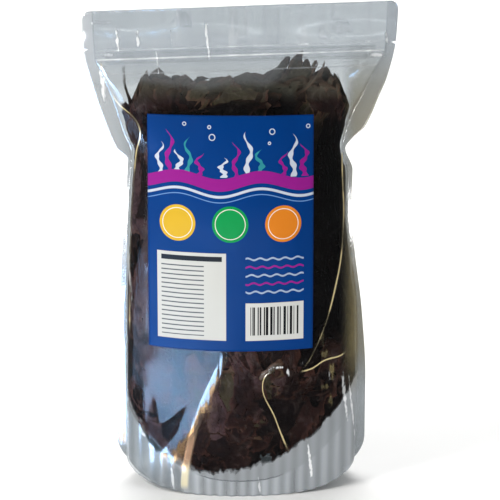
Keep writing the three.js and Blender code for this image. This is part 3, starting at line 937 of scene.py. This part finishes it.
def spots(film, places, x, y, z, frayed):
    """Small frayed spots of painted light on the front, each with a place, a width, a height and a strength.
    """
    found = 0 * z
    for across, height, wide, tall, strength in places:
        away = ((x - across + 0.12 * (z - height)) / (0.6 * wide)) ** 2 + ((z - height) / tall) ** 2
        found = found.most(film.step(away + 6 * (frayed - 0.5), 1.5, 0.1) * strength)
    return found * film.step(y, 0.5, -0.2)


def pressed_leaves(film, x, z, torn):
    """The leaves pressed to the film; inside an outline, every edge lies on the same hand."""
    found = 0 * z
    for corners in PRESSED:
        edges = []
        for (a, b), (c, d) in zip(corners, corners[1:] + corners[:1]):
            run = math.hypot(c - a, d - b)
            edges.append((x - a) * ((d - b) / run) - (z - b) * ((c - a) / run))
        inner = edges[0]
        for edge in edges[1:]:
            inner = inner.least(edge)
        found = found.most(film.step(inner + 5 * (torn - 0.5), -0.4, 0.4))
    return found


print("marks on the film:", len(PAINTED_GLINTS), "glints,", len(PAINTED_SHEEN), "sheens,", len(PRESSED), "pressed leaves")

# %% [markdown]
# ## The film's finish
# The film is clear, but gives back a sharp reflection that grows towards glancing angles: a tinted
# Transparent shader mixed with a glossy Principled one. The seals scatter more light and look paler. Much of
# the rest is painted light: the fluted foot below the dulse is painted silver, as light seen through it, and
# painted highlights and reflections lie along the creases, the header's folds, the zip, the outer rim, the
# lower left and the right side. Masks from the panel's columns, the folds and the marks raise the share of
# the glossy shader there. Pressed leaves lower it.

# %% Clear film


def film_finish(name, tint, body, haze):
    film = Finish(name)
    spot, x, y, z = film.place()
    across = abs(film.node("Attribute", "Fac", {"attribute_name": "across"}))
    seal = film.step(across, 0.96, 1.12)
    # Painted highlight along the outer edges of the film.
    painted_rim = film.step(across, 1.86, 1.97)
    top = FOOT_SEAL + FOOT_CURVE * (abs(x) / FOOT_REACH).least(1.0) ** 2.4
    skirt = film.step(z - top, 1.5, -1.5) * (1 - seal)
    near = film.step(y, -1.0, -3.0)
    streaks = film.noise(spot, 26, (3.4, 3.4, 0.16), 3.0, seed=2)
    cloud = film.noise(spot, 16, (1, 1, 1), 3.0, seed=7)
    torn = film.noise(spot, 160, (1.4, 1, 0.6), 3.0, seed=11)
    frayed = film.noise(spot, 420, (1.2, 1, 0.5), 3.0, seed=13)
    mist = film.step(z + 22 * (cloud - 0.5), 299, 306) * film.step(x, 40, 20) * near
    # Painted highlights along the creases and the level fold.
    line = painted_crease_highlights(film, x, z, cloud, near)
    painted_glint = spots(film, PAINTED_GLINTS, x, y, z, frayed)
    painted_sheen = spots(film, PAINTED_SHEEN, x, y, z, frayed)
    pressed = pressed_leaves(film, x, z, torn) * near
    # Painted highlight: a warm streak beside the foot crease, brown-gold above, then peach, then cream low
    # down.
    past = x - film.curve(CREASES["foot"], z, SPAN)
    painted_foot_streak = film.step(past, -0.6, 0.6) * film.step(past, 6.5, 4.0) * near
    painted_foot_streak = painted_foot_streak * film.step(z, 2, 8) * film.step(z, 112, 100)
    flutes = (x * (2 * math.pi / FLUTE) + 0.8 * (x / 19).sine()).sine() * 0.5 + 0.5
    # Painted light: the film below the dulse is made silver, as light seen through the foot.
    over = z - film.curve(FOOT_OF_MASS, x, SPAN) + 14 * (cloud - 0.5) + 12 * (torn - 0.5)
    painted_light_below = film.step(over, 6, 2) * (1 - seal) * near
    stitch = film.step(abs(z - top), 0.7, 0.2) * film.step(abs(x), 34, 26)
    # Painted reflection: a warm olive shine on the right side.
    painted_warm_sheen = film.step(x, 72, 86) * film.step(z, 62, 110) * film.step(z, 345, 270) * (1 - seal * 0.4)
    # Painted light: a brighter lower left, strongest on the seal.
    painted_left_light = film.step(x, -72, -100) * film.step(z, 40, 80) * (0.15 + 0.75 * seal)
    header = film.step(z, 296, 325)
    lean = z - TOP_SLANT * x / HALF_TOP
    # Painted highlight lines along the zip.
    zip_highlight_lines = 0 * z
    for height, outer, inner, strength in ZIP_HIGHLIGHT_LINES:
        zip_highlight_lines = zip_highlight_lines + strength * film.step(abs(lean - height), outer, inner)
    zip_highlight_lines = zip_highlight_lines * (0.3 + streaks) * near
    # Painted highlights: glints on the upright folds of the header.
    folds = film.step(streaks, 0.52, 0.72) * film.step(z, 318, 334)
    # Less of the painted light below the dulse at the left, where the cool lamps already show.
    calm = 1 - 0.65 * film.step(x, -34, -48)
    facing = film.node("LayerWeight", "Facing", Blend=0.5)

    share = haze + (0.50 + 0.12 * (flutes - 0.5)) * painted_light_below * calm + 0.26 * seal + 0.3 * painted_rim + 0.08 * header
    share = share + 0.14 * mist + 0.34 * painted_warm_sheen + 0.09 * painted_left_light + 0.5 * facing ** 4 + 0.06 * (cloud - 0.5)
    share = share + 0.6 * line + 0.75 * painted_glint + 0.3 * painted_sheen + 0.14 * folds + 0.6 * zip_highlight_lines
    share = share + (0.14 + 0.3 * film.step(z, 58, 34)) * painted_foot_streak
    share = (share * (1 - 0.93 * pressed)).clamped()

    # Silver: the paler seals, skirt streaks and mist, and the painted light below the dulse.
    silver = painted_light_below * 0.75 + skirt * (0.2 * flutes + 0.5 * (streaks - 0.5)) + seal * 0.55 + 0.3 * mist
    blue = film.mix(header * 0.8, body, srgb("98a4b3"))
    grey = film.mix(silver.clamped(), blue, srgb("cdd3d8"))
    olive = film.mix(painted_warm_sheen, grey, srgb("90804a"))
    # Pale gold: the painted crease highlights, over the painted olive sheens.
    gold = film.mix(line, film.mix(painted_sheen, olive, srgb("b09c5c")), srgb("e9d49a"))
    bright = (painted_glint + 0.5 * folds + 0.8 * zip_highlight_lines + 0.1 * painted_rim + 0.45 * painted_left_light).clamped()
    pale = film.mix(bright, gold, srgb("fbfcfc"))
    peach = film.mix(film.step(z, 54, 40), srgb("6e5f43"), srgb("d3a581"))
    painted_streak_colour = film.mix(film.step(z, 30, 16), peach, srgb("ece2bd"))
    colour = film.mix(stitch * 0.8, film.mix(painted_foot_streak, pale, painted_streak_colour), srgb("6c747c"))
    ripples = film.bump(streaks, 0.5, 0.0012)
    fine = film.bump(film.noise(spot, 90, (1.5, 1.5, 0.5), 2.0, seed=4), 0.25, 0.0005, ripples)
    gloss = film.node("BsdfPrincipled", Base_Color=colour, Roughness=0.05 + 0.12 * streaks + 0.12 * skirt,
                      Normal=fine, IOR=2.6)
    clear = film.node("BsdfTransparent", Color=tint)
    return film.close(film.node("MixShader", _0=share, _1=clear, _2=gloss))


CLEAR = film_finish("clear_film", srgb("ebedee"), srgb("121315"), 0.04)
dress(front, CLEAR)
dress(rear, CLEAR)
# The gusset film is milkier and paler than the panels; part of that paleness is painted light, for light
# through the foot.
GUSSET = film_finish("gusset_film", srgb("e6e9ea"), srgb("a8aeb3"), 0.34)
dress(gusset, GUSSET)
print("film finishes:", CLEAR.name, "and", GUSSET.name)

# %% [markdown]
# ## The zip's finish
# The two tracks keep their CAD shape. They are thicker than the film, so they are milkier, and painted
# highlights along their straight edges draw the level lines that show through the header.

# %% Zip tracks
zip_plastic = Finish("zip_plastic")
spot, x, y, z = zip_plastic.place()
level_z = z - 3.2 * x / HALF_TOP
bands = zip_plastic.noise(spot, 40, (0.2, 1, 6), 2.0)
# Painted highlights along the tracks' edges.
painted_edge_highlights = 0 * z
for height in (318.6, 321.6, 325.2):
    painted_edge_highlights = painted_edge_highlights.most(zip_plastic.step(abs(level_z - height), 0.6, 0.1))
milky = zip_plastic.node("BsdfPrincipled", Base_Color=srgb("c4cbd0"), Roughness=0.18 + 0.1 * bands, IOR=1.52)
through = zip_plastic.node("BsdfTransparent", Color=srgb("fbfbfb"))
zip_share = 0.01 + 0.16 * painted_edge_highlights * bands
zip_look = zip_plastic.close(zip_plastic.node("MixShader", _0=zip_share, _1=through, _2=milky))
for name in ("zip_track_front", "zip_track_back"):
    track = frame["nodes"][name]
    dress(track, zip_look)
    heights = [(track.matrix_world @ Vector(corner)).z / MM for corner in track.bound_box]
    print(name, "from", round(min(heights), 1), "to", round(max(heights), 1), "mm")

# %% [markdown]
# ## The dulse's finish
# Dried dulse is nearly black where it is thick, and maroon, mauve or olive where light gets through. Each
# blade has its own tone, and cloudy patches change it. The thin margins are redder, painted light shining
# through them, and the crest is paler towards its top, painted light as well. It is half matt, with fine
# wrinkles that catch a soft sheen. To the right of the label the mass lies in its own shade, so its colour is
# taken down there as painted shade.

# %% Dulse
leather = Finish("dulse_leather")
spot, x, y, z = leather.place()
tone = leather.node("Attribute", "Fac", {"attribute_name": "tone"})
margin = leather.node("Attribute", "Fac", {"attribute_name": "margin"})
patches = leather.noise(spot, 34, detail=5.0, seed=1, warp=0.6)
veins = leather.noise(spot, 130, detail=6.0, seed=3, warp=1.4)
crinkles = leather.noise(spot, 330, detail=3.0, seed=8, warp=1.0)
shade = tone + 0.5 * (patches - 0.5)
dark = leather.mix(leather.step(shade, 0.0, 0.4), srgb("0a0605"), srgb("37201b"))
plum = leather.mix(leather.step(shade, 0.46, 0.64), dark, srgb("64494b"))
olive = leather.mix(leather.step(shade, 0.7, 0.95), plum, srgb("544a35"))
stains = leather.noise(spot, 75, detail=5.0, seed=21, warp=0.8)
mottled = leather.mix(leather.step(stains, 0.42, 0.62) * 0.6, olive, srgb("1b110e"))
dust = leather.step(veins + 0.6 * (patches - 0.5), 0.5, 0.8) * (0.06 + 0.5 * shade).clamped()
dusty = leather.mix(dust, mottled, srgb("8c7a72"))
# Painted light: the crest is paler towards its top.
high = leather.mix(leather.step(z + 14 * (patches - 0.5), 286, 304) * 0.6, dusty, srgb("77705e"))
# Painted light: redder margins, as light shining through the thin edges.
edge = leather.mix(leather.step(margin, 0.3, 1.0) * (0.08 + 0.3 * shade).clamped(), high, srgb("94604e"))
# Painted shade: the mass to the right of the label is darkened.
shaded = leather.step(x, 36, 60) * leather.step(z, 292, 262) * leather.step(z, 96, 124)
with_painted_shade = leather.mix(shaded * 0.93, edge, srgb("060403"))
creased = leather.bump(abs(patches - 0.5), 0.6, 0.006)
grain = leather.bump(abs(veins - 0.5), 0.8, 0.0025, creased)
fine = leather.bump(abs(crinkles - 0.5), 0.6, 0.0008, grain)
skin = leather.node("BsdfPrincipled", Base_Color=with_painted_shade, Roughness=0.34 + 0.35 * veins, Normal=fine,
                    Specular_IOR_Level=0.05)
DULSE = leather.close(skin)
for piece in dulse:
    dress(piece, DULSE)
print("dulse pieces dressed:", len(dulse))

# %% [markdown]
# ## The label's print
# The label is blue, with a magenta band, three discs and two white panels, one ruled and one barred. All of
# it is plain shapes, worked out from where a point lies: a rectangle is a product of steps, and a disc is a
# step on the distance from its middle.

# %% Shapes of the print
print_finish = Finish("label_print")
spot, x, y, z = print_finish.place()
SOFT = 0.12
INKS = []


def disc(u, v, radius):
    away = ((x - u) ** 2 + (z - v) ** 2) ** 0.5
    return print_finish.step(away, radius + 0.15, radius - 0.15)


def block(left, right, foot, head):
    half_wide, half_tall = (right - left) / 2, (head - foot) / 2
    inside_x = print_finish.step(abs(x - (left + right) / 2), half_wide + SOFT, half_wide - SOFT)
    inside_z = print_finish.step(abs(z - (foot + head) / 2), half_tall + SOFT, half_tall - SOFT)
    return inside_x * inside_z


def wave_band(head, foot):
    """A level band that rolls in slow waves."""
    return print_finish.step(z - wave, head, head - 0.3) * print_finish.step(z - wave, foot, foot + 0.3)


def ribbon(root, foot, head, width, bend, phase):
    """A weed that winds upwards from its root and thins to a point."""
    reach = (z - foot) / (head - foot)
    middle = root + bend * (reach * 9 + phase).sine() * (0.3 + reach)
    wide = width * (1 - reach.clamped() ** 3).most(0.0) * (0.85 + 0.3 * (reach * 26 + phase).sine())
    return print_finish.step(abs(x - middle) - wide, 0.2, -0.2) * block(-200, 200, foot, head)


def paint(mask, code):
    """Puts one colour of ink over all that was painted before."""
    INKS.append((mask, srgb(code)))


wave = 3.0 * (x * 0.105).sine()
print("label from", LABEL_X[0], "to", LABEL_X[1], "mm across")

# %% [markdown]
# ## The design
# The upper part shows weeds and bubbles over rolling bands, then come three discs, and below them the two
# panels and a few wavy lines. Places are in millimetres, in the frame of the pouch.

# %% Design of the label
GROWTH = [(-58, 262), (-51, 271), (-44, 257), (-37, 266), (-29, 255), (-12, 252), (-3, 263), (6, 270),
          (14, 258), (31, 256), (38, 268), (46, 261)]
BUBBLES = [(-20, 266, 2.4), (-22, 273, 1.4), (23, 270, 2.2), (-40, 275, 1.5), (49, 273, 1.6), (21, 262, 1.2)]
for i, (root, head) in enumerate(GROWTH):
    code = ("b4bcc8", "861a7c", "b4bcc8", "2a8088", "861a7c")[i % 5]
    paint(ribbon(root, 238, head, 1.7 + 0.3 * (i % 3), 2.4, 1.3 * i), code)
for across, height, radius in BUBBLES:
    paint(disc(across, height, radius) - disc(across, height, radius - 0.7), "b4bcc8")
for head, foot, code in ((240.0, 231.0, "861a7c"), (228.4, 226.2, "b4bcc8"), (223.8, 222.8, "5f86b8")):
    paint(wave_band(head, foot), code)
for across, code in ((-45, "c49e24"), (-7, "0c8643"), (31, "c8741e")):
    paint(disc(across, 205, 13), code)
    paint(disc(across, 205, 11.0) - disc(across, 205, 10.5), "d8d8d2")
paint(block(-60, -10, 120, 184), "b9bab6")
rules = print_finish.step((z * (2 * math.pi / 3.4)).sine(), 0.55, 0.85)
short_lines = print_finish.step((z * 0.9 + x * 0.02).sine() * 10 + x, -6, -2)
paint(rules * block(-57, -13, 123, 176) * short_lines, "8c9096")
paint(rules * block(-57, -26, 123, 176), "4a4e55")
paint(block(-57, -13, 178, 181.6), "1d2025")
paint(block(4, 46, 120, 148), "bdbebb")
bars = print_finish.step((x * 2.6).sine() + (x * 1.37 + 1).sine() + (x * 4.4).sine() * 0.6, 0.05, 0.25)
paint(bars * block(7, 43, 124, 145), "121316")
for i in range(5):
    wavy = abs(z - 156 - 6.0 * i - 0.7 * (x * 0.7 + i).sine())
    paint(print_finish.step(wavy, 0.8, 0.5) * block(4, 46, 150, 190), "861a7c" if i % 2 else "8fa0b8")
colour = print_finish.mix(print_finish.noise(spot, 30, seed=5) * 0.3, srgb("003372"), srgb("002a60"))
for mask, ink in INKS:
    colour = print_finish.mix(mask, colour, ink)
gentle = print_finish.bump(print_finish.noise(spot, 45, seed=9), 0.15, 0.0008)
skin = print_finish.node("BsdfPrincipled", Base_Color=colour, Normal=gentle, Specular_IOR_Level=0.05,
                         Roughness=0.38 + 0.1 * print_finish.noise(spot, 60))
dress(label, print_finish.close(skin))
print("inks on the label:", len(INKS))

# %% [markdown]
# ## Floor and backdrop
# The photograph has a plain white ground. A pale floor sweeps up into a backdrop behind the pouch.

# %% Floor
FLOOR_SIDE = 9000
BEND_FROM = 1500
BEND_RADIUS = 900
bpy.ops.object.select_all(action="DESELECT")
bpy.ops.mesh.primitive_grid_add(x_subdivisions=2, y_subdivisions=60, size=1)
floor = bpy.context.object
floor.name = "floor"
flat = points_of(floor)
run = (flat[:, 1] + 0.5) * FLOOR_SIDE - FLOOR_SIDE / 2
past = np.clip(run - BEND_FROM, 0, None)
bow = np.minimum(past / BEND_RADIUS, math.pi / 2)
upright = np.clip(past - BEND_RADIUS * math.pi / 2, 0, None)
place(floor, flat[:, 0] * FLOOR_SIDE, np.where(past > 0, BEND_FROM + BEND_RADIUS * np.sin(bow), run),
      np.where(past > 0, BEND_RADIUS * (1 - np.cos(bow)) + upright, 0))
only(floor)
bpy.ops.object.shade_smooth()
paper = Finish("pale_floor")
spot, *_ = paper.place()
pale = paper.node("BsdfPrincipled", Base_Color=srgb("f4f4f3"), Roughness=0.85 + 0.1 * paper.noise(spot, 3))
dress(floor, paper.close(pale))
floor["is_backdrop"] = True
floor.visible_glossy = False
print("floor of", FLOOR_SIDE, "mm, swept up from", BEND_FROM, "mm behind the pouch")

# %% [markdown]
# ## Light
# The light is soft: a large box above and to the left, a weaker one to the right, a wide one over the
# backdrop, and a strip for the long upright glint at the left. A panel seen from a little above mirrors
# what lies low in front of it, so the cool lamps of the blue patch lie on the floor, with a narrow warm one
# beside them. Only mirrors see those.

# %% Lights
COOL_LAMPS = [("cool_front", -1.0, -0.102, -0.64, -0.2, 80), ("cool_foot", -0.34, -0.097, -0.2, -0.06, 80),
              ("cool_side", -1.6, -0.34, -0.2, 0.1, 14)]


def soft_box(name, at, towards, size, power, colour=(1, 1, 1), mirror_only=False):
    """A rectangular lamp that faces a point and that the camera doesn't see."""
    data = bpy.data.lights.new(name, "AREA")
    data.shape = "RECTANGLE"
    data.size, data.size_y = size
    data.energy = power
    data.color = colour
    lamp = bpy.data.objects.new(name, data)
    bpy.context.scene.collection.objects.link(lamp)
    lamp.location = at
    lamp.rotation_euler = (Vector(towards) - Vector(at)).to_track_quat("-Z", "Y").to_euler()
    lamp.visible_camera = False
    lamp.visible_diffuse = not mirror_only
    lamp.visible_glossy = name != "fill"
    return lamp


soft_box("key", (-1.2, -0.75, 1.3), (0, 0, 0.2), (0.5, 0.5), 22, (1, 0.98, 0.95))
soft_box("fill", (1.6, -0.9, 0.9), (0, 0, 0.15), (0.9, 1.4), 1.6, (1, 0.96, 0.9))
soft_box("ground", (0, 1.4, 2.6), (0, 0.9, 0.2), (2.6, 1.2), 80)
soft_box("foot", (0, -0.8, 0.05), (0, 0, 0.01), (0.9, 0.06), 3.2)
soft_box("left_strip", (-0.75, -0.15, 0.3), (0, 0, 0.2), (0.10, 0.9), 0.5, (0.92, 0.96, 1))
for name, left, right, near, far, strength in COOL_LAMPS:
    wide, deep = right - left, far - near
    spot = ((left + right) / 2, (near + far) / 2)
    soft_box(name, (*spot, 0.003), (*spot, 1), (wide, deep), strength * wide * deep, (0.40, 0.64, 1), True)
soft_box("warm_front", (-0.089, -0.22, 0.003), (-0.089, -0.22, 1), (0.012, 0.3), 0.2, (1, 0.6, 0.25), True)
world = bpy.data.worlds.new("studio")
bpy.context.scene.world = world
world.use_nodes = True
world.node_tree.nodes["Background"].inputs["Color"].default_value = (0.97, 0.98, 1, 1)
world.node_tree.nodes["Background"].inputs["Strength"].default_value = 0.25
bpy.context.scene.view_settings.view_transform = "Standard"
bpy.context.scene.cycles.transparent_max_bounces = 24

# %% Finish
low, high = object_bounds()
print("visual box in metres:", [round(v, 4) for v in (*low, *high)])
